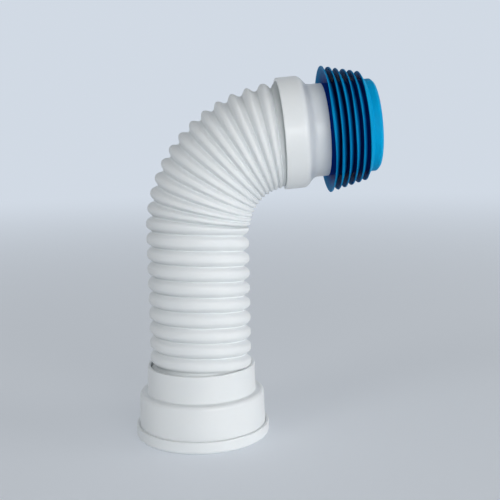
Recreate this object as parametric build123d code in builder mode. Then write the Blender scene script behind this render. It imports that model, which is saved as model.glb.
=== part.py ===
from build123d import *
import os
from math import ceil, cos, floor, hypot, pi, radians, sin, sqrt, tan

# Flexible toilet pan connector, standing on its pan socket.
# The origin is the centre of the socket's mouth, on the plane it stands on, with +Z up the socket's axis.
# The hose bends over in the XZ plane, and its outlet spigot points along +X, a little upwards.
# All lengths are in millimetres.

# Hose: a thin wall with one continuous fold wound round it, left-handed
hose_diameter = 95.0
hose_wall = 1.4
fold_depth = 5.5
fold_pitch = 14.0
fold_crest = 4.2
bend_fold_pitch = 9.6
first_groove = 5.7
fold_lean = 4.5
straight_length = 152.0
bend_radius = 86.5
bend_angle = 85.5
hose_clearance = 0.1

# Pan socket: a bell for the pan's outlet below, a cup for the hose above
shoulder_height = 43.0
shoulder_width = 7.7
shoulder_round = 4.0
shoulder_plate = 3.0
bell_wall = 3.0
bell_draft = 1.3
cup_depth = 25.3
cup_wall = 3.4
cup_draft = 0.5
cup_foot_round = 1.5

# Ring that holds the lip seal in the socket's mouth
ring_height = 12.0
ring_wall = 2.9
ring_floor = 3.0
ring_reach = 6.3
ring_round = 4.5
ring_clearance = 0.1

# Lip seal inside the socket's mouth
lip_seal_flange = 2.0
lip_seal_sleeve = 1.5
lip_seal_height = 26.0
lip_count = 2
lip_pitch = 9.0
lip_reach = 6.9
lip_rise = 6.0
lip_root = 3.0
lip_edge = 1.2
lip_seal_clearance = 0.1

# Outlet spigot: a collar for the hose, a neck and a tube that carries the finned seal
collar_length = 18.0
collar_lap = 2.0
collar_wall = 3.4
collar_step = 8.7
collar_cone = 7.5
collar_round = 5.0
collar_mouth_chamfer = 0.8
hose_seat_depth = 15.0
neck_length = 13.5
neck_round = 3.0
spigot_wall = 2.5
cone_lag = 2.0

# Finned seal for a 110 mm soil pipe
seal_sleeve = 2.45
fin_count = 6
fin_pitch = 6.55
fin_sweep = 22.0
first_fin_offset = 1.2
first_fin_height = 15.4
last_fin_height = 7.7
fin_root = 3.2
fin_edge = 1.0
nose_length = 13.05
nose_chamfer = 2.5
seal_end_lip = 3.0
seal_clearance = 0.05

# Sizes that follow from the ones above
hose_radius = hose_diameter / 2
mean_radius = hose_radius - fold_depth / 2
fold_flank = hypot(fold_pitch / 2, fold_depth)
bend = radians(bend_angle)
bend_start = shoulder_height + straight_length
collar_start = bend_start + bend_radius * bend - collar_lap
straight_turns = (bend_start - first_groove) / fold_pitch
bend_turns = bend_radius * bend / bend_fold_pitch

hose_bore = hose_radius + hose_clearance
cup_radius = hose_bore + cup_wall
bell_top_radius = cup_radius + shoulder_width
bell_radius = bell_top_radius + bell_draft
bell_foot = ring_floor + lip_seal_flange
bell_ceiling = shoulder_height - shoulder_plate
ring_bore = bell_radius + ring_clearance
ring_radius = ring_bore + ring_wall
mouth_radius = ring_bore - ring_reach
passage_radius = hose_radius - fold_depth - hose_wall

collar_radius = hose_bore + collar_wall
neck_radius = collar_radius - collar_step
seal_seat_radius = neck_radius - seal_sleeve
spigot_bore = seal_seat_radius - spigot_wall
seal_start = collar_length + collar_cone + neck_length
seal_end = seal_start + first_fin_offset + (fin_count - 1) * fin_pitch + nose_length
spigot_end = seal_end - seal_end_lip

# The spigot's own frame: its axis is the sketch's x, from the end of the bend outwards
spigot_axis = Vector(sin(bend), 0, cos(bend))
spigot_foot = Vector(bend_radius * (1 - cos(bend)), 0, bend_start + bend_radius * sin(bend))
spigot_plane = Plane(origin=spigot_foot, x_dir=spigot_axis, z_dir=(0, -1, 0))
spigot_turn = Axis(spigot_foot, spigot_axis)


def corner(sketch, x, y):
    """The corner of a sketch at a point of its own plane."""
    return sketch.vertices().sort_by_distance(Vertex(x, y, 0))[0]


def bell_radius_at(z):
    """Outside radius of the bell, which narrows upwards by its draft."""
    return bell_radius - bell_draft * (z - bell_foot) / (shoulder_height - bell_foot)


# Flexible hose
STEPS_PER_TURN = 12


def smooth(t):
    """Rises from 0 to 1 with no kink."""
    t = min(max(t, 0.0), 1.0)
    return t * t * (3 - 2 * t)


def centreline(s):
    """Point of the hose's centreline at a length s above the base plane, and the way to the bend's inside."""
    angle = min(max(s - bend_start, 0.0) / bend_radius, bend)
    beyond = s - bend_radius * angle - bend_start
    turned = Vector(bend_radius * (1 - cos(angle)), 0, bend_start + bend_radius * sin(angle))
    return turned + Vector(sin(angle), 0, cos(angle)) * beyond, Vector(cos(angle), 0, -sin(angle))


def length_at(turns):
    """Length along the centreline after a number of turns of the fold, which lie closer in the bend."""
    in_bend = min(max(turns - straight_turns, 0.0), bend_turns)
    return first_groove + (turns - in_bend) * fold_pitch + in_bend * bend_fold_pitch


def depth_at(s, angle):
    """Depth of the fold: its flanks keep their length, so it stands taller where the bend shuts it."""
    in_bend = smooth((s - bend_start) / fold_pitch) * smooth((collar_start - s) / fold_pitch)
    shut_pitch = bend_fold_pitch * (1 - mean_radius / bend_radius * cos(angle))
    pitch = fold_pitch + (shut_pitch - fold_pitch) * in_bend
    return sqrt(max(fold_flank**2 - pitch**2 / 4, fold_depth**2 / 4))


def lean_at(s):
    """Slope at which the turns rise towards the front, which fades out over the first of the bend."""
    return tan(radians(fold_lean)) * smooth(1 - (s - bend_start) / (2 * fold_pitch))


def on_fold(level, inset, shift, turns):
    """Point on the fold: level 1 is a crest, -1 a groove, and shift the share of a pitch from the groove."""
    s = length_at(turns + shift)
    angle = -2 * pi * turns
    radius = mean_radius + level * depth_at(s, angle) / 2 - inset
    point, inwards = centreline(s - radius * sin(angle) * lean_at(s))
    return point + inwards * (radius * cos(angle)) + Vector(0, radius * sin(angle), 0)


def fold_line(level, inset, shift, turn):
    """One turn of a line that winds round the hose with the fold."""
    marks = [step / STEPS_PER_TURN for step in range(STEPS_PER_TURN + 1)]
    step = 0.001
    ends = [
        (on_fold(level, inset, shift, t + step) - on_fold(level, inset, shift, t - step)) / (2 * step)
        for t in (turn, turn + 1)
    ]
    points = [on_fold(level, inset, shift, turn + mark) for mark in marks]
    return Edge.make_spline(points, tangents=ends, parameters=marks, scale=False)


def ruled(first, second):
    """Ruled face between two lines of the fold, each given as level, inset, shift and turn."""
    return Face.make_surface_from_curves(fold_line(*first), fold_line(*second))


crest_share = fold_crest / fold_pitch
outside = [(-1, 0.0, 0.0), (1, 0.0, (1 - crest_share) / 2), (1, 0.0, (1 + crest_share) / 2), (-1, 0.0, 1.0)]
inside = [(-1, hose_wall, 0.0), (1, hose_wall, 0.5), (-1, hose_wall, 1.0)]
first_turn = floor((shoulder_height - first_groove) / fold_pitch) - 2
last_turn = ceil(straight_turns + bend_turns + hose_seat_depth / fold_pitch) + 1

hose_faces = []
for turn in range(first_turn, last_turn):
    for profile in (outside, inside):
        for low, high in zip(profile, profile[1:]):
            hose_faces.append(ruled((*low, turn), (*high, turn)))
# Each raw end of the winding is closed along its edge and across its step
hose_faces.append(ruled((*outside[0], first_turn), (*inside[0], first_turn)))
hose_faces.append(ruled((*outside[-1], last_turn - 1), (*inside[-1], last_turn - 1)))
for turn in (first_turn, last_turn):
    section = [on_fold(*line, turn) for line in outside + inside[::-1]]
    hose_faces.append(Face(Wire.make_polygon(section, close=True)))

with BuildPart() as flexible_hose:
    add(Solid(Shell(hose_faces)))
    # Both ends are cut square where they seat in the socket and in the collar
    split(bisect_by=Plane.XY.offset(shoulder_height), keep=Keep.TOP)
    split(bisect_by=Plane(origin=spigot_foot + spigot_axis * hose_seat_depth, z_dir=spigot_axis), keep=Keep.BOTTOM)

# Pan socket
with BuildPart() as pan_socket:
    with BuildSketch(Plane.XZ) as profile:
        with BuildLine():
            Polyline(
                (bell_radius, bell_foot),
                (bell_radius_at(shoulder_height), shoulder_height),
                (cup_radius, shoulder_height),
                (cup_radius - cup_draft, shoulder_height + cup_depth),
                (hose_bore, shoulder_height + cup_depth),
                (hose_bore, shoulder_height),
                (passage_radius, shoulder_height),
                (passage_radius, bell_ceiling),
                (bell_radius_at(bell_ceiling) - bell_wall, bell_ceiling),
                (bell_radius - bell_wall, bell_foot),
                close=True,
            )
        make_face()
        fillet(corner(profile, bell_radius_at(shoulder_height), shoulder_height), shoulder_round)
        fillet(corner(profile, cup_radius, shoulder_height), cup_foot_round)
    revolve(axis=Axis.Z)

# Seal retaining ring
with BuildPart() as seal_retaining_ring:
    with BuildSketch(Plane.XZ) as profile:
        with BuildLine():
            Polyline(
                (mouth_radius, 0),
                (ring_radius, 0),
                (ring_radius, ring_height),
                (ring_bore, ring_height),
                (ring_bore, ring_floor),
                (mouth_radius, ring_floor),
                close=True,
            )
        make_face()
        fillet(corner(profile, ring_radius, 0), ring_round)
        chamfer(corner(profile, ring_radius, ring_height), ring_wall / 3)
    revolve(axis=Axis.Z)

# Pan lip seal
sleeve_foot_radius = bell_radius - bell_wall - lip_seal_clearance
sleeve_top_radius = bell_radius_at(bell_foot + lip_seal_height) - bell_wall - lip_seal_clearance
sleeve_inner_radius = sleeve_top_radius - lip_seal_sleeve
with BuildPart() as pan_lip_seal:
    with BuildSketch(Plane.XZ):
        with BuildLine():
            Polyline(
                (sleeve_inner_radius, ring_floor),
                (bell_radius, ring_floor),
                (bell_radius, bell_foot),
                (sleeve_foot_radius, bell_foot),
                (sleeve_top_radius, bell_foot + lip_seal_height),
                (sleeve_inner_radius, bell_foot + lip_seal_height),
                close=True,
            )
        make_face()
        # Each lip leans up and inwards, the way the pan's outlet pushes it
        for lip in range(lip_count):
            root = bell_foot + lip * lip_pitch
            with BuildLine():
                Polyline(
                    (sleeve_inner_radius + lip_seal_sleeve / 2, root),
                    (sleeve_inner_radius - lip_reach, root + lip_rise),
                    (sleeve_inner_radius - lip_reach, root + lip_rise + lip_edge),
                    (sleeve_inner_radius + lip_seal_sleeve / 2, root + lip_root),
                    close=True,
                )
            make_face()
    revolve(axis=Axis.Z)

# Outlet spigot
with BuildPart() as outlet_spigot:
    with BuildSketch(spigot_plane) as profile:
        with BuildLine():
            Polyline(
                (-collar_lap, hose_bore),
                (-collar_lap, collar_radius),
                (collar_length, collar_radius),
                (collar_length + collar_cone, neck_radius),
                (seal_start, neck_radius),
                (seal_start, seal_seat_radius),
                (spigot_end, seal_seat_radius),
                (spigot_end, spigot_bore),
                (collar_length + collar_cone + cone_lag, spigot_bore),
                (collar_length + cone_lag, spigot_bore + collar_step),
                (hose_seat_depth, spigot_bore + collar_step),
                (hose_seat_depth, hose_bore),
                close=True,
            )
        make_face()
        fillet(corner(profile, collar_length, collar_radius), collar_round)
        fillet(corner(profile, collar_length + collar_cone, neck_radius), neck_round)
        chamfer(corner(profile, -collar_lap, hose_bore), collar_mouth_chamfer)
    revolve(axis=spigot_turn)

# Finned seal
seal_bore = seal_seat_radius + seal_clearance
with BuildPart() as finned_seal:
    with BuildSketch(spigot_plane) as profile:
        with BuildLine():
            Polyline(
                (seal_start, seal_bore),
                (seal_start, neck_radius),
                (seal_end, neck_radius),
                (seal_end, spigot_bore),
                (spigot_end, spigot_bore),
                (spigot_end, seal_bore),
                close=True,
            )
        make_face()
        chamfer(corner(profile, seal_end, neck_radius), nose_chamfer)
        # The fins grow from the nose back to the neck, and lean back so that they slide into a pipe
        for fin in range(fin_count):
            edge = seal_start + first_fin_offset + fin * fin_pitch
            height = first_fin_height + (last_fin_height - first_fin_height) * fin / (fin_count - 1)
            root = edge + height * tan(radians(fin_sweep))
            with BuildLine():
                Polyline(
                    (root - fin_root / 2, neck_radius - seal_sleeve / 2),
                    (root - fin_root / 2, neck_radius),
                    (edge - fin_edge / 2, neck_radius + height),
                    (edge + fin_edge / 2, neck_radius + height),
                    (root + fin_root / 2, neck_radius),
                    (root + fin_root / 2, neck_radius - seal_sleeve / 2),
                    close=True,
                )
            make_face()
    revolve(axis=spigot_turn)

os.makedirs("parts", exist_ok=True)

flexible_hose.part.label = "flexible_hose"
export_step(flexible_hose.part, "parts/flexible_hose.step")

pan_socket.part.label = "pan_socket"
export_step(pan_socket.part, "parts/pan_socket.step")

seal_retaining_ring.part.label = "seal_retaining_ring"
export_step(seal_retaining_ring.part, "parts/seal_retaining_ring.step")

pan_lip_seal.part.label = "pan_lip_seal"
export_step(pan_lip_seal.part, "parts/pan_lip_seal.step")

outlet_spigot.part.label = "outlet_spigot"
export_step(outlet_spigot.part, "parts/outlet_spigot.step")

finned_seal.part.label = "finned_seal"
export_step(finned_seal.part, "parts/finned_seal.step")
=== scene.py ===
from math import atan2, ceil, cos, floor, hypot, pi, radians, sin, tan

import bmesh
import bpy
import numpy as np
from mathutils import Matrix, Vector


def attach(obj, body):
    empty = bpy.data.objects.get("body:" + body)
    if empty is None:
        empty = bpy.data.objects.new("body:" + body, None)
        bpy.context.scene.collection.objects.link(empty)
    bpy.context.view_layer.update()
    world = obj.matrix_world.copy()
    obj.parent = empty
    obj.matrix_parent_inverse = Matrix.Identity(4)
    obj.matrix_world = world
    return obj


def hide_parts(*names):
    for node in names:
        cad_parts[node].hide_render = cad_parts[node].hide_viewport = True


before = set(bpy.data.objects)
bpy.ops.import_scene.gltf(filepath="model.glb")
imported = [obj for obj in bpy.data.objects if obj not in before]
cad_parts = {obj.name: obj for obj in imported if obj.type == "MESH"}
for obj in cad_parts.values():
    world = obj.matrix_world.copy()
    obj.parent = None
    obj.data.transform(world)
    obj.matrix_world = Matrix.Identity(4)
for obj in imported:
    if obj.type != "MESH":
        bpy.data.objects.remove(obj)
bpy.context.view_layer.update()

MM = 0.001
ORIGIN = Vector((0, 0, 0))
UP = Vector((0, 0, 1))
DOWN = Vector((0, 0, -1))

# Sizes of the hose, in millimetres like all sizes of the part
hose_radius = 47.5
hose_wall = 1.4
fold_depth = 5.5
fold_pitch = 14.0
bend_fold_pitch = 9.6
first_groove = 5.7
fold_lean = tan(radians(4.5))
bend_start = 195.0
bend_radius = 86.5
bend = radians(85.5)
hose_seat_depth = 15.0

# Sizes of the pan socket, a bell with a cup for the hose on its shoulder
shoulder_height = 43.0
shoulder_rounding = 4.0
cup_foot_rounding = 1.5
cup_bore = 47.6
cup_radius = 51.0
cup_draft = 0.5
cup_top = 68.3
bell_radius = 60.0
bell_draft = 1.3
bell_foot = 5.0
bell_ceiling = 40.0
bell_wall = 3.0
passage_radius = 40.6

# Sizes of the ring under the bell
ring_radius = 63.0
ring_bore = 60.1
ring_height = 12.0
ring_floor = 3.0
ring_rounding = 4.5
mouth_radius = 53.8

# Sizes of the lip seal, a sleeve in the bell with two lips that rise inwards
sleeve_clearance = 0.1
sleeve_length = 26.0
sleeve_wall = 1.5
lip_roots = (5.0, 14.0)
lip_root_width = 3.0
lip_root_depth = 0.75
lip_reach = 6.9
lip_low_rise = 6.0
lip_high_rise = 4.2
# Painted shade on the lip seal's sleeve, as the share of the seal's full colour that shows there
sleeve_unshaded = 0.25

# Sizes of the spigot, along its axis from the end of the bend
collar_radius = 51.0
collar_lap = 2.0
collar_length = 18.0
collar_rounding = 7.0
collar_chamfer = 0.8
collar_cone = 7.5
cone_rounding = 8.0
inner_cone_lag = 2.0
inner_cone_rounding = 2.0
ledge_bore = 46.05
neck_radius = 42.3
seal_seat_radius = 39.85
spigot_bore = 37.35
spigot_end = 83.0

# Sizes of the finned seal on the spigot
seal_start = 39.0
seal_end = 86.0
seal_clearance = 0.05
nose_chamfer = 2.5
fin_count = 6
fin_pitch = 6.55
fin_sweep = tan(radians(22.0))
first_fin_inset = 1.2
first_fin_height = 15.4
last_fin_height = 7.7
fin_root_half = 1.6
fin_edge_half = 0.5
fin_root_rounding = 0.5
fin_edge_rounding = 0.45
# Share of the seal's full colour at a fin's edge; lower down, painted shade darkens each fin to its root
fin_edge_unshaded = 0.68

# Lengths and places that follow from the sizes
first_fin = seal_start + first_fin_inset
mean_radius = hose_radius - fold_depth / 2
fold_flank = hypot(fold_pitch / 2, fold_depth)
collar_start = bend_start + bend_radius * bend - collar_lap
straight_turns = (bend_start - first_groove) / fold_pitch
bend_turns = bend_radius * bend / bend_fold_pitch
spigot_axis = Vector((sin(bend), 0, cos(bend)))
spigot_foot = Vector((bend_radius * (1 - cos(bend)), 0, bend_start + bend_radius * sin(bend)))

# Fineness of the meshes
lathe_segments = 216
arc_step = 0.14
least_arc_pieces = 3
guard_share, least_guard, most_guard = 0.1, 0.05, 0.25
straight_turn = 0.02
sharp_turn = 0.35
side_share = 0.48
outside_steps, outside_lines = 96, 26
inside_steps, inside_lines = 64, 10
cut_tolerance = 1e-7
rim_tolerance = 1e-5


# Mesh tools

def added(name, data):
    """A new object in the scene."""
    made = bpy.data.objects.new(name, data)
    bpy.context.scene.collection.objects.link(made)
    return made


def rounded(corners):
    """Closed profile through corners of along, radius and rounding, and which of its points are sharp."""
    points, sharp = [], []
    count = len(corners)
    for k, (along, radius, rounding) in enumerate(corners):
        here = Vector((along, radius))
        back = Vector(corners[k - 1][:2]) - here
        on = Vector(corners[(k + 1) % count][:2]) - here
        u, w = back.normalized(), on.normalized()
        angle = u.angle(w)
        if rounding <= 0 or angle > pi - straight_turn:
            points.append(here)
            sharp.append(angle < pi - sharp_turn)
            continue
        reach = min(rounding / tan(angle / 2), side_share * back.length, side_share * on.length)
        rounding = reach * tan(angle / 2)
        centre = here + (u + w).normalized() * (rounding / sin(angle / 2))
        start, end = here + u * reach, here + w * reach
        a = atan2(start.y - centre.y, start.x - centre.x)
        b = atan2(end.y - centre.y, end.x - centre.x)
        way = (b - a + pi) % (2 * pi) - pi
        pieces = max(least_arc_pieces, ceil((pi - angle) / arc_step))
        # A point just off each end of the arc keeps the flat sides flat in smooth shading
        margin = min(most_guard, guard_share * reach + least_guard)
        if back.length - reach > 2 * margin:
            points.append(start + u * margin)
            sharp.append(False)
        for i in range(pieces + 1):
            t = a + way * i / pieces
            points.append(centre + Vector((cos(t), sin(t))) * rounding)
            sharp.append(False)
        if on.length - reach > 2 * margin:
            points.append(end + w * margin)
            sharp.append(False)
    return points, sharp


def lathe(name, corners, foot, axis, sway=None, unshaded=None):
    """A closed profile turned round an axis.

    Sway moves a point along the axis, and the last argument gives each point a painted shade, as the share
    of full colour that shows.
    """
    points, sharp = rounded(corners)
    axis = Vector(axis).normalized()
    side = Vector((0, 1, 0))
    other = axis.cross(side)
    verts, faces = [], []
    for k in range(lathe_segments):
        t = 2 * pi * k / lathe_segments
        out = side * cos(t) + other * sin(t)
        for p in points:
            along = p.x + (sway(p.x, p.y, t) if sway else 0.0)
            verts.append((Vector(foot) + axis * along + out * p.y) * MM)
    count = len(points)
    for k in range(lathe_segments):
        n = (k + 1) % lathe_segments
        for i in range(count):
            j = (i + 1) % count
            faces.append((k * count + i, k * count + j, n * count + j, n * count + i))
    mesh = bpy.data.meshes.new(name)
    mesh.from_pydata(verts, [], faces)
    # Each point carries its painted shade, as the share of full colour that shows, for the material to read
    if unshaded:
        shades = mesh.attributes.new("unshaded", "FLOAT", "POINT")
        shades.data.foreach_set("value", [unshaded(p.x, p.y) for p in points] * lathe_segments)
    bm = bmesh.new()
    bm.from_mesh(mesh)
    bmesh.ops.recalc_face_normals(bm, faces=bm.faces[:])
    for f in bm.faces:
        f.smooth = True
    for e in bm.edges:
        a, b = e.verts[0].index, e.verts[1].index
        if a % count == b % count and sharp[a % count]:
            e.smooth = False
    bm.to_mesh(mesh)
    bm.free()
    return added(name, mesh)


# Section of a fold: power sets how blunt its crest is, softness how round its groove is
crest_power = 2.8
opened_slims = 1.2
shut_blunts = 3.2
groove_softness = 0.10
opened_softens = 0.40
shut_softens = 0.40
shut_lifts_groove = 0.82

# How far the folds open and shut round the bend and in the cup
shut_fall = 1.5
opened_fall = 1.4
opened_at_foot = 0.3
cup_shut = 0.7
cup_shut_length = 8.0

# Painted shade in the grooves, strongest on the outside of the bend, as a share of full shade, with its
# place and width as shares of a pitch
inside_groove_shade = 0.02
outside_groove_shade = 0.42
shut_clears_shade = 0.95
opened_clears_shade = 0.3
shade_lift = 0.06
shade_width = 0.08
opened_narrows = 0.02

# Painted shadow at the collar's mouth and painted shade above the cup's rim, with its place and width in
# millimetres
mouth_shadow_depth = 0.85
mouth_shadow_back = 0.5
mouth_shadow_width = 2.2
rim_shade_depth = 0.95
rim_shade_height = 2.0
rim_shade_width = 2.8


# Flexible hose

def smooth(t):
    """A soft step from 0 to 1."""
    t = np.clip(t, 0.0, 1.0)
    return t * t * (3 - 2 * t)


def hump(distance, width):
    """1 at no distance, and next to nothing two widths away."""
    return np.exp(-((distance / width) ** 2))


def length_at(turns):
    """Length along the hose's centreline after some turns of the winding."""
    in_bend = np.clip(turns - straight_turns, 0.0, bend_turns)
    return first_groove + (turns - in_bend) * fold_pitch + in_bend * bend_fold_pitch


def fold_level(across, opened, shut):
    """Section of the fold, 1 on its crest and -1 in its groove.

    It is broad and close where shut, and slim where opened.
    """
    w = np.abs(2 * across - 1)
    power = crest_power - opened_slims * opened + shut_blunts * shut
    soft = groove_softness + opened_softens * opened + shut_softens * shut
    edge = 1 - soft
    slope = power * edge ** (power - 1)
    past = np.maximum(w - edge, 0.0)
    rise = np.where(w < edge, w**power, edge**power + slope * (past - past**2 / (2 * soft)))
    return 1 - 2 * rise / (edge**power + slope * soft / 2) * (1 - shut_lifts_groove * shut)


def fold_points(turns, across, inset):
    """Points of the hose's wall and their painted shade.

    They are given by turns of the winding and by shares of a pitch across the fold.
    """
    s = length_at(turns + across)
    angle = -2 * pi * turns
    in_bend = smooth((s - bend_start) / fold_pitch) * smooth((collar_start - s) / fold_pitch)
    bent_pitch = bend_fold_pitch * (1 - mean_radius / bend_radius * np.cos(angle))
    pitch = fold_pitch + (bent_pitch - fold_pitch) * in_bend
    depth = np.sqrt(np.maximum(fold_flank**2 - pitch**2 / 4, fold_depth**2 / 4))
    # 1 on the outside of the bend and 0 on its inside
    outer = 0.5 - 0.5 * np.cos(angle)
    shut = smooth((s - bend_start) / fold_pitch) * (1 - outer) ** shut_fall
    along = np.clip((s - bend_start) / (collar_start - bend_start), 0.0, 1.0)
    opened = in_bend * outer**opened_fall * (opened_at_foot + (1 - opened_at_foot) * along)
    # The folds close up in the cup, so no deep slot is left at its rim
    seated = cup_shut * smooth((cup_top + cup_shut_length / 2 - s) / cup_shut_length)
    level = fold_level(across, opened, np.maximum(shut, seated))
    radius = mean_radius + level * depth / 2 - inset
    # The turns of the straight run stand higher at the front
    s = s - radius * np.sin(angle) * fold_lean * smooth(1 - (s - bend_start) / (2 * fold_pitch))
    arc = np.clip((s - bend_start) / bend_radius, 0.0, bend)
    beyond = s - bend_radius * arc - bend_start
    x = bend_radius * (1 - np.cos(arc)) + np.sin(arc) * beyond
    z = bend_start + bend_radius * np.sin(arc) + np.cos(arc) * beyond
    x = x + np.cos(arc) * radius * np.cos(angle)
    z = z - np.sin(arc) * radius * np.cos(angle)
    y = radius * np.sin(angle)
    # Painted shade lies in the groove and a little up the crest above it, strongest on the outside of the
    # bend; a painted shadow lies at the collar's mouth and painted shade above the cup's rim
    above = (across + 0.5) % 1.0 - 0.5
    groove_shade_share = (inside_groove_shade + outside_groove_shade * outer) * (1 - shut_clears_shade * shut) * (1 - opened_clears_shade * opened)
    painted_groove_shade = groove_shade_share * hump(above - shade_lift, shade_width - opened_narrows * opened)
    # Painted shadow of the collar on the hose at its mouth
    painted_mouth_shadow = mouth_shadow_depth * hump(s - collar_start + mouth_shadow_back, mouth_shadow_width)
    # Painted shade above the cup's rim, strongest on the outside of the bend
    rim = rim_shade_depth * outer**2 * hump(s - cup_top - rim_shade_height, rim_shade_width)
    return np.stack([x, y, z], axis=-1), np.maximum(np.maximum(painted_groove_shade, painted_mouth_shadow), rim)


def wound_shell(steps, lines, inset):
    """Vertices, faces and painted shade of one side of the hose's wall, wound as one strip that meets
    itself.
    """
    # A few turns are wound past both ends, where the hose is cut off later
    first = floor((shoulder_height - first_groove) / fold_pitch) - 2
    last = ceil(straight_turns + bend_turns + hose_seat_depth / fold_pitch) + 1
    wound = (last - first) * steps
    turns = first + np.arange(wound + steps + 1)[:, None] / steps
    across = np.arange(lines)[None, :] / lines
    turns, across = np.broadcast_arrays(turns, across)
    points, painted_shade = fold_points(turns, across, inset)
    i, j = np.meshgrid(np.arange(wound), np.arange(lines), indexing="ij")
    here = i * lines + j
    beside = np.where(j + 1 < lines, here + 1, (i + steps) * lines)
    ahead = here + lines
    diagonal = np.where(j + 1 < lines, ahead + 1, (i + 1 + steps) * lines)
    faces = np.stack([here, ahead, diagonal, beside], axis=-1).reshape(-1, 4)
    return points.reshape(-1, 3) * MM, faces, painted_shade.reshape(-1)


def hose_object(name):
    """The hose's wall, wound outside and inside and closed at both ends."""
    outer, outer_faces, outer_painted_shade = wound_shell(outside_steps, outside_lines, 0.0)
    inner, inner_faces, inner_painted_shade = wound_shell(inside_steps, inside_lines, hose_wall)
    points = np.concatenate([outer, inner])
    faces = np.concatenate([outer_faces, inner_faces[:, ::-1] + len(outer)])
    mesh = bpy.data.meshes.new(name)
    mesh.from_pydata(points.tolist(), [], faces.tolist())
    # The painted shade is stored on the mesh for the hose's material
    painted_shade = mesh.attributes.new("painted_shade", "FLOAT", "POINT")
    painted_shade.data.foreach_set("value", np.concatenate([outer_painted_shade, inner_painted_shade]).astype(np.float32))
    bm = bmesh.new()
    bm.from_mesh(mesh)
    # Both ends are cut square, then closed between the wall's two sides
    ends = (
        (Vector((0, 0, shoulder_height * MM)), DOWN),
        ((spigot_foot + spigot_axis * hose_seat_depth) * MM, spigot_axis),
    )
    for place, outwards in ends:
        bmesh.ops.bisect_plane(
            bm,
            geom=bm.verts[:] + bm.edges[:] + bm.faces[:],
            dist=cut_tolerance,
            plane_co=place,
            plane_no=outwards,
            clear_outer=True,
        )
    loose = [v for v in bm.verts if not v.link_faces]
    bmesh.ops.delete(bm, geom=loose, context="VERTS")
    for place, outwards in ends:
        rim = [
            e
            for e in bm.edges
            if e.is_boundary and all(abs((v.co - place).dot(outwards)) < rim_tolerance for v in e.verts)
        ]
        bmesh.ops.bridge_loops(bm, edges=rim)
    bmesh.ops.recalc_face_normals(bm, faces=bm.faces[:])
    for f in bm.faces:
        f.smooth = True
    bm.to_mesh(mesh)
    bm.free()
    return added(name, mesh)


hose = hose_object("hose")


# Mouldings, as corners of along, radius and rounding

def bell_radius_at(height):
    """Outer radius of the bell, which narrows upwards by its draft."""
    return bell_radius - bell_draft * (height - bell_foot) / (shoulder_height - bell_foot)


socket = lathe(
    "socket",
    [
        (bell_foot, bell_radius, 0.4),
        (shoulder_height, bell_radius_at(shoulder_height), shoulder_rounding),
        (shoulder_height, cup_radius, cup_foot_rounding),
        (cup_top, cup_radius - cup_draft, 0.9),
        (cup_top, cup_bore, 0.5),
        (shoulder_height, cup_bore, 0.0),
        (shoulder_height, passage_radius, 0.4),
        (bell_ceiling, passage_radius, 0.4),
        (bell_ceiling, bell_radius_at(bell_ceiling) - bell_wall, 1.2),
        (bell_foot, bell_radius - bell_wall, 0.3),
    ],
    ORIGIN,
    UP,
)

ring = lathe(
    "ring",
    [
        (0, mouth_radius, 0.6),
        (0, ring_radius, ring_rounding),
        (ring_height, ring_radius, 1.0),
        (ring_height, ring_bore, 0.25),
        (ring_floor, ring_bore, 0.0),
        (ring_floor, mouth_radius, 0.6),
    ],
    ORIGIN,
    UP,
)

# Lip seal in the socket's mouth
sleeve_top = bell_foot + sleeve_length
sleeve_top_radius = bell_radius_at(sleeve_top) - bell_wall - sleeve_clearance
sleeve_bore = sleeve_top_radius - sleeve_wall
bared = lip_root_depth / (lip_root_depth + lip_reach)
lips = []
for lip_root in lip_roots:
    high_root = lip_root + lip_root_width
    lips.append((lip_root + lip_low_rise * bared, sleeve_bore, 0.6))
    lips.append((lip_root + lip_low_rise, sleeve_bore - lip_reach, 0.5))
    lips.append((high_root + lip_high_rise, sleeve_bore - lip_reach, 0.5))
    lips.append((high_root + lip_high_rise * bared, sleeve_bore, 0.8))


def lip_unshaded(along, radius):
    """Painted shade of the lip seal, as the share of its full colour that shows, which grows towards the
    lips' edges.
    """
    return min(max((sleeve_bore - radius) / lip_reach, sleeve_unshaded), 1.0)


lip_seal = lathe(
    "lip_seal",
    [
        (ring_floor, sleeve_bore, 0.4),
        *lips,
        (sleeve_top, sleeve_bore, 0.5),
        (sleeve_top, sleeve_top_radius, 0.5),
        (bell_foot, bell_radius - bell_wall - sleeve_clearance, 0.0),
        (bell_foot, bell_radius, 0.2),
        (ring_floor, bell_radius, 0.2),
    ],
    ORIGIN,
    UP,
    unshaded=lip_unshaded,
)

# Spigot, along its axis from the end of the bend
spigot = lathe(
    "spigot",
    [
        (-collar_lap, collar_radius, 0.9),
        (collar_length, collar_radius, collar_rounding),
        (collar_length + collar_cone, neck_radius, cone_rounding),
        (seal_start, neck_radius, 0.3),
        (seal_start, seal_seat_radius, 0.0),
        (spigot_end, seal_seat_radius, 0.2),
        (spigot_end, spigot_bore, 0.5),
        (collar_length + collar_cone + inner_cone_lag, spigot_bore, inner_cone_rounding),
        (collar_length + inner_cone_lag, ledge_bore, inner_cone_rounding),
        (hose_seat_depth, ledge_bore, 0.3),
        (hose_seat_depth, cup_bore, 0.0),
        (collar_chamfer - collar_lap, cup_bore, 0.0),
        (-collar_lap, cup_bore + collar_chamfer, 0.3),
    ],
    spigot_foot,
    spigot_axis,
)

# Finned seal: its fins lean back from the nose, and their edges sway a little, as soft rubber does
sway_size = 0.28
sway_turn = 1.7
slow_waves = 3
quick_waves = 5
quick_share = 0.6
quick_turn = 2.3


def fin_height(share):
    """Height of a fin, for its share of the way from the first to the last."""
    return first_fin_height + (last_fin_height - first_fin_height) * share


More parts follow.
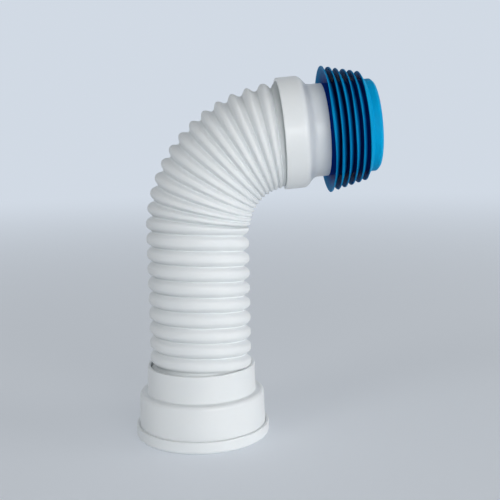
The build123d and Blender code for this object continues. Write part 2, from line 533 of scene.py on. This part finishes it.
def fin_places(fin):
    """Where a fin's edge and root lie along the axis, and its height."""
    edge = first_fin + fin * fin_pitch
    height = fin_height(fin / (fin_count - 1))
    return edge, edge + height * fin_sweep, height


fins = []
for fin in range(fin_count):
    fin_edge, fin_root, fin_rise = fin_places(fin)
    fins.append((fin_root - fin_root_half, neck_radius, fin_root_rounding))
    fins.append((fin_edge - fin_edge_half, neck_radius + fin_rise, fin_edge_rounding))
    fins.append((fin_edge + fin_edge_half, neck_radius + fin_rise, fin_edge_rounding))
    fins.append((fin_root + fin_root_half, neck_radius, fin_root_rounding))


def fin_sway(along, radius, t):
    """How far a point of a fin sways along the axis, for its angle round it: most at the edge."""
    lift = max(radius - neck_radius, 0.0)
    turn = sway_turn * (along + lift * fin_sweep)
    waves = sin(slow_waves * t + turn) + quick_share * sin(quick_waves * t - quick_turn * turn)
    return sway_size * lift / first_fin_height * waves


def fin_unshaded(along, radius):
    """Painted shade of the seal, as the share of its full colour that shows: it grows up the fins to their
    edges, and is 1 past the last fin and inside.
    """
    lift = max(radius - neck_radius, 0.0)
    first_root = fin_places(0)[1]
    last_root = fin_places(fin_count - 1)[1]
    share = (along + lift * fin_sweep - first_root) / (last_root - first_root)
    if share > 1 or radius < neck_radius - fin_root_rounding:
        return 1.0
    return fin_edge_unshaded * min(lift / fin_height(max(share, 0.0)), 1.0)


seal = lathe(
    "seal",
    [
        (seal_start, seal_seat_radius + seal_clearance, 0.0),
        (seal_start, neck_radius, 0.3),
        *fins,
        (seal_end - nose_chamfer, neck_radius, 1.6),
        (seal_end, neck_radius - nose_chamfer, 1.2),
        (seal_end, spigot_bore, 0.5),
        (spigot_end, spigot_bore, 0.0),
        (spigot_end, seal_seat_radius + seal_clearance, 0.0),
    ],
    spigot_foot,
    spigot_axis,
    sway=fin_sway,
    unshaded=fin_unshaded,
)

# Colours of the materials, each tone as a pair that clouds blend
HOSE_TONES = ((0.79, 0.82, 0.835), (0.82, 0.845, 0.855))
# Colour of the painted shade on the hose
HOSE_SHADE_COLOUR = (0.36, 0.39, 0.395)
MOULDING_TONES = ((0.795, 0.825, 0.84), (0.825, 0.85, 0.86))
SEAL_TONES = ((0.0, 0.31, 0.60), (0.0, 0.355, 0.67))
# Dark colour of the painted shade in the valleys between the fins and on the lip seal's sleeve; the range
# below spreads how much of it shows
SEAL_PAINTED_SHADE = (0.0, 0.028, 0.22)
SEAL_UNSHADED_RANGE = (0.11, 1.0)

# Optics of the materials, and how fine the noises of their clouds and gloss are
PLASTIC_IOR = 1.49
RUBBER_IOR = 1.48
RUBBER_SPECULAR = 0.05
HOSE_SCATTER = 0.12
MOULDING_SCATTER = 0.1
SCATTER_RADIUS = (1.0, 0.9, 0.8)
SCATTER_SCALE = 0.0015
CLOUD_DETAIL = 4.0
GLOSS_DETAIL = 3.0

# Sockets of the colour mix node, which share their names
MIX_SHARE, MIX_FIRST, MIX_SECOND, MIX_COLOUR = 0, 6, 7, 2


# Materials

def material(name):
    """A new material, its node tree and its shader."""
    made = bpy.data.materials.new(name)
    made.use_nodes = True
    return made, made.node_tree, made.node_tree.nodes["Principled BSDF"]


def noise(tree, place, scale, detail):
    node = tree.nodes.new("ShaderNodeTexNoise")
    node.inputs["Scale"].default_value = scale
    node.inputs["Detail"].default_value = detail
    tree.links.new(place, node.inputs["Vector"])
    return node.outputs["Fac"]


def spread(tree, value, low, high, from_low=0.3, from_high=0.7, way="LINEAR"):
    """A value moved from one range to another."""
    node = tree.nodes.new("ShaderNodeMapRange")
    node.interpolation_type = way
    node.inputs["From Min"].default_value = from_low
    node.inputs["From Max"].default_value = from_high
    node.inputs["To Min"].default_value = low
    node.inputs["To Max"].default_value = high
    tree.links.new(value, node.inputs["Value"])
    return node.outputs["Result"]


def mixed(tree, share, first, second):
    """Blend of two colours, each a tuple or a node's output."""
    node = tree.nodes.new("ShaderNodeMix")
    node.data_type = "RGBA"
    for entry, value in ((node.inputs[MIX_FIRST], first), (node.inputs[MIX_SECOND], second)):
        if isinstance(value, tuple):
            entry.default_value = (*value, 1)
        else:
            tree.links.new(value, entry)
    tree.links.new(share, node.inputs[MIX_SHARE])
    return node.outputs[MIX_COLOUR]


def maths(tree, operation, first, second):
    node = tree.nodes.new("ShaderNodeMath")
    node.operation = operation
    tree.links.new(first, node.inputs[0])
    tree.links.new(second, node.inputs[1])
    return node.outputs["Value"]


def blended(tree, share, first, second):
    """Blend of two shaders."""
    node = tree.nodes.new("ShaderNodeMixShader")
    for entry, value in zip(node.inputs, (share, first, second)):
        tree.links.new(value, entry)
    return node.outputs["Shader"]


def bumped(tree, height, distance, strength, normal):
    node = tree.nodes.new("ShaderNodeBump")
    node.inputs["Distance"].default_value = distance
    node.inputs["Strength"].default_value = strength
    tree.links.new(height, node.inputs["Height"])
    if normal is not None:
        tree.links.new(normal, node.inputs["Normal"])
    return node.outputs["Normal"]


def mesh_shade(tree, name):
    """A painted shade that the mesh carries at its points."""
    node = tree.nodes.new("ShaderNodeAttribute")
    node.attribute_name = name
    return node.outputs["Fac"]


def finish(name, cloud_scale, tones, gloss, grain, waves):
    """A clouded material: the material, its node tree, its shader and its tone, which isn't joined yet.

    Gloss is a noise's scale and the roughness it spans. Grain and waves are each a noise's scale and
    detail, with the height and the strength of the bump it makes.
    """
    made, tree, shader = material(name)
    place = tree.nodes.new("ShaderNodeTexCoord").outputs["Object"]
    clouds = spread(tree, noise(tree, place, cloud_scale, CLOUD_DETAIL), 0.0, 1.0)
    tone = mixed(tree, clouds, *tones)
    gloss_scale, smoothest, roughest = gloss
    rough = spread(tree, noise(tree, place, gloss_scale, GLOSS_DETAIL), smoothest, roughest)
    tree.links.new(rough, shader.inputs["Roughness"])
    normal = None
    for scale, detail, height, strength in (grain, waves):
        normal = bumped(tree, noise(tree, place, scale, detail), height, strength, normal)
    tree.links.new(normal, shader.inputs["Normal"])
    return made, tree, shader, tone


def scatter(shader, weight):
    """Light goes a little way into white plastic."""
    shader.inputs["IOR"].default_value = PLASTIC_IOR
    shader.inputs["Subsurface Weight"].default_value = weight
    shader.inputs["Subsurface Radius"].default_value = SCATTER_RADIUS
    shader.inputs["Subsurface Scale"].default_value = SCATTER_SCALE


def hose_plastic():
    made, tree, shader, tone = finish(
        "white_hose_plastic",
        cloud_scale=32.0,
        tones=HOSE_TONES,
        gloss=(140.0, 0.50, 0.62),
        grain=(1400.0, 2.0, 0.00003, 1.0),
        waves=(75.0, 2.0, 0.0003, 0.5),
    )
    # Painted shade darkens the hose in its grooves, at the collar's mouth and above the cup's rim
    shaded_tone = mixed(tree, mesh_shade(tree, "painted_shade"), tone, HOSE_SHADE_COLOUR)
    tree.links.new(shaded_tone, shader.inputs["Base Color"])
    scatter(shader, HOSE_SCATTER)
    return made


def moulded_plastic():
    made, tree, shader, tone = finish(
        "white_moulded_plastic",
        cloud_scale=20.0,
        tones=MOULDING_TONES,
        gloss=(110.0, 0.28, 0.38),
        grain=(1800.0, 2.0, 0.00002, 1.0),
        waves=(45.0, 1.0, 0.0002, 0.4),
    )
    tree.links.new(tone, shader.inputs["Base Color"])
    scatter(shader, MOULDING_SCATTER)
    return made


def seal_rubber():
    made, tree, shader, tone = finish(
        "blue_seal_rubber",
        cloud_scale=40.0,
        tones=SEAL_TONES,
        gloss=(160.0, 0.46, 0.60),
        grain=(1200.0, 3.0, 0.00004, 1.0),
        waves=(90.0, 2.0, 0.0002, 0.4),
    )
    # Painted shade: the seal darkens towards the fins' roots and on the lip seal's sleeve
    unshaded_share = spread(tree, mesh_shade(tree, "unshaded"), 0.0, 1.0, *SEAL_UNSHADED_RANGE)
    tree.links.new(mixed(tree, unshaded_share, SEAL_PAINTED_SHADE, tone), shader.inputs["Base Color"])
    shader.inputs["IOR"].default_value = RUBBER_IOR
    shader.inputs["Specular IOR Level"].default_value = RUBBER_SPECULAR
    return made


white_hose = hose_plastic()
white_moulding = moulded_plastic()
blue_seal = seal_rubber()

for piece, node, slot, paint in (
    (hose, "flexible_hose", "white_hose", white_hose),
    (socket, "pan_socket", "white_moulding", white_moulding),
    (ring, "seal_retaining_ring", "white_moulding", white_moulding),
    (lip_seal, "pan_lip_seal", "blue_seal", blue_seal),
    (spigot, "outlet_spigot", "white_moulding", white_moulding),
    (seal, "finned_seal", "blue_seal", blue_seal),
):
    piece.data.materials.append(paint)
    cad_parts[node].data.materials.clear()
    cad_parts[node].data.materials.append(paint)
    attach(piece, "root")
    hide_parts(node)

# Floor and backdrop, in metres: near the object the floor shows light and shadow, far off the backdrop
BACKDROP = (0.64, 0.70, 0.78)
FLOOR_PAINT = (0.90, 0.93, 0.97)
FLOOR_ROUGHNESS = 0.7
FLOOR_SPECULAR = 0.2
FLOOR_RADIUS = 14.0
FLOOR_SIDES = 96
FADE_START, FADE_END = 0.3, 3.0
NEAREST_FADE = 0.35

# Light of the world, which weakens upwards
SKY_COLOUR = (0.97, 0.99, 1.0)
LOW_LIGHT, HIGH_LIGHT = 0.82, 0.15
HIGH_LIGHT_FROM = 0.75


def seen_rays(tree):
    """1 on the rays that show the backdrop, straight to the camera, mirrored or through glass."""
    path = tree.nodes.new("ShaderNodeLightPath")
    share = path.outputs["Is Camera Ray"]
    for name in ("Is Glossy Ray", "Is Transmission Ray"):
        share = maths(tree, "MAXIMUM", share, path.outputs[name])
    return share


def floor_material():
    made, tree, shader = material("floor_paint")
    shader.inputs["Base Color"].default_value = (*FLOOR_PAINT, 1)
    shader.inputs["Roughness"].default_value = FLOOR_ROUGHNESS
    shader.inputs["Specular IOR Level"].default_value = FLOOR_SPECULAR
    distance = tree.nodes.new("ShaderNodeVectorMath")
    distance.operation = "LENGTH"
    place = tree.nodes.new("ShaderNodeNewGeometry").outputs["Position"]
    tree.links.new(place, distance.inputs[0])
    far = spread(tree, distance.outputs["Value"], NEAREST_FADE, 1.0, FADE_START, FADE_END, "SMOOTHSTEP")
    glow = tree.nodes.new("ShaderNodeEmission")
    glow.inputs["Color"].default_value = (*BACKDROP, 1)
    shown = maths(tree, "MULTIPLY", far, seen_rays(tree))
    surface = blended(tree, shown, shader.outputs["BSDF"], glow.outputs["Emission"])
    tree.links.new(surface, tree.nodes["Material Output"].inputs["Surface"])
    return made


def studio_world():
    made = bpy.data.worlds.new("studio")
    made.use_nodes = True
    tree = made.node_tree
    light = tree.nodes["Background"]
    light.inputs["Color"].default_value = (*SKY_COLOUR, 1)
    direction = tree.nodes.new("ShaderNodeSeparateXYZ")
    tree.links.new(tree.nodes.new("ShaderNodeTexCoord").outputs["Generated"], direction.inputs[0])
    strength = spread(tree, direction.outputs["Z"], LOW_LIGHT, HIGH_LIGHT, 0.0, HIGH_LIGHT_FROM)
    tree.links.new(strength, light.inputs["Strength"])
    backdrop = tree.nodes.new("ShaderNodeBackground")
    backdrop.inputs["Color"].default_value = (*BACKDROP, 1)
    surface = blended(tree, seen_rays(tree), light.outputs["Background"], backdrop.outputs["Background"])
    tree.links.new(surface, tree.nodes["World Output"].inputs["Surface"])
    return made


bpy.ops.mesh.primitive_circle_add(
    vertices=FLOOR_SIDES, radius=FLOOR_RADIUS, fill_type="NGON", location=(0, 0, 0)
)
floor_plane = bpy.context.object
floor_plane.name = "studio_floor"
floor_plane.data.materials.append(floor_material())

bpy.context.scene.world = studio_world()

# Lamps, by place, width and height in metres and power in watts
LAMP_AIM = Vector((0.03, 0, 0.17))
LAMPS = {
    "key": ((1.3, -3.2, 0.55), 2.4, 1.4, 46.0),
    "side": ((2.9, -0.9, 0.55), 1.8, 1.8, 25.5),
    "fill": ((-2.4, -2.0, 2.2), 1.4, 1.4, 13.0),
}
for name, (place, width, height, power) in LAMPS.items():
    lamp = bpy.data.lights.new(name, "AREA")
    lamp.shape = "ELLIPSE"
    lamp.size = width
    lamp.size_y = height
    lamp.energy = power
    stand = added(name, lamp)
    stand.location = place
    stand.rotation_euler = (LAMP_AIM - Vector(place)).to_track_quat("-Z", "Y").to_euler()

# Camera, at the photograph's viewing angle
PHOTO_WIDTH = 500
FOCAL_PIXELS = 864.334
SENSOR_WIDTH = 36.0
CAMERA_PLACE = Vector((2.748, -797.706, 290.197))
CAMERA_PITCH, CAMERA_YAW, CAMERA_ROLL = 0.144, 0.057, 0.020

ahead = Vector(
    (sin(CAMERA_YAW) * cos(CAMERA_PITCH), cos(CAMERA_YAW) * cos(CAMERA_PITCH), -sin(CAMERA_PITCH))
)
level_right = Vector((cos(CAMERA_YAW), -sin(CAMERA_YAW), 0))
level_down = ahead.cross(level_right)
right = level_right * cos(CAMERA_ROLL) + level_down * sin(CAMERA_ROLL)
down = level_down * cos(CAMERA_ROLL) - level_right * sin(CAMERA_ROLL)
turned = Matrix((right, -down, -ahead)).transposed()
camera = added("camera", bpy.data.cameras.new("camera"))
camera.data.sensor_width = SENSOR_WIDTH
camera.data.lens = FOCAL_PIXELS / PHOTO_WIDTH * SENSOR_WIDTH
camera.matrix_world = Matrix.Translation(CAMERA_PLACE * MM) @ turned.to_4x4()
bpy.context.scene.camera = camera

bpy.context.scene.view_settings.view_transform = "Standard"

bpy.context.view_layer.update()
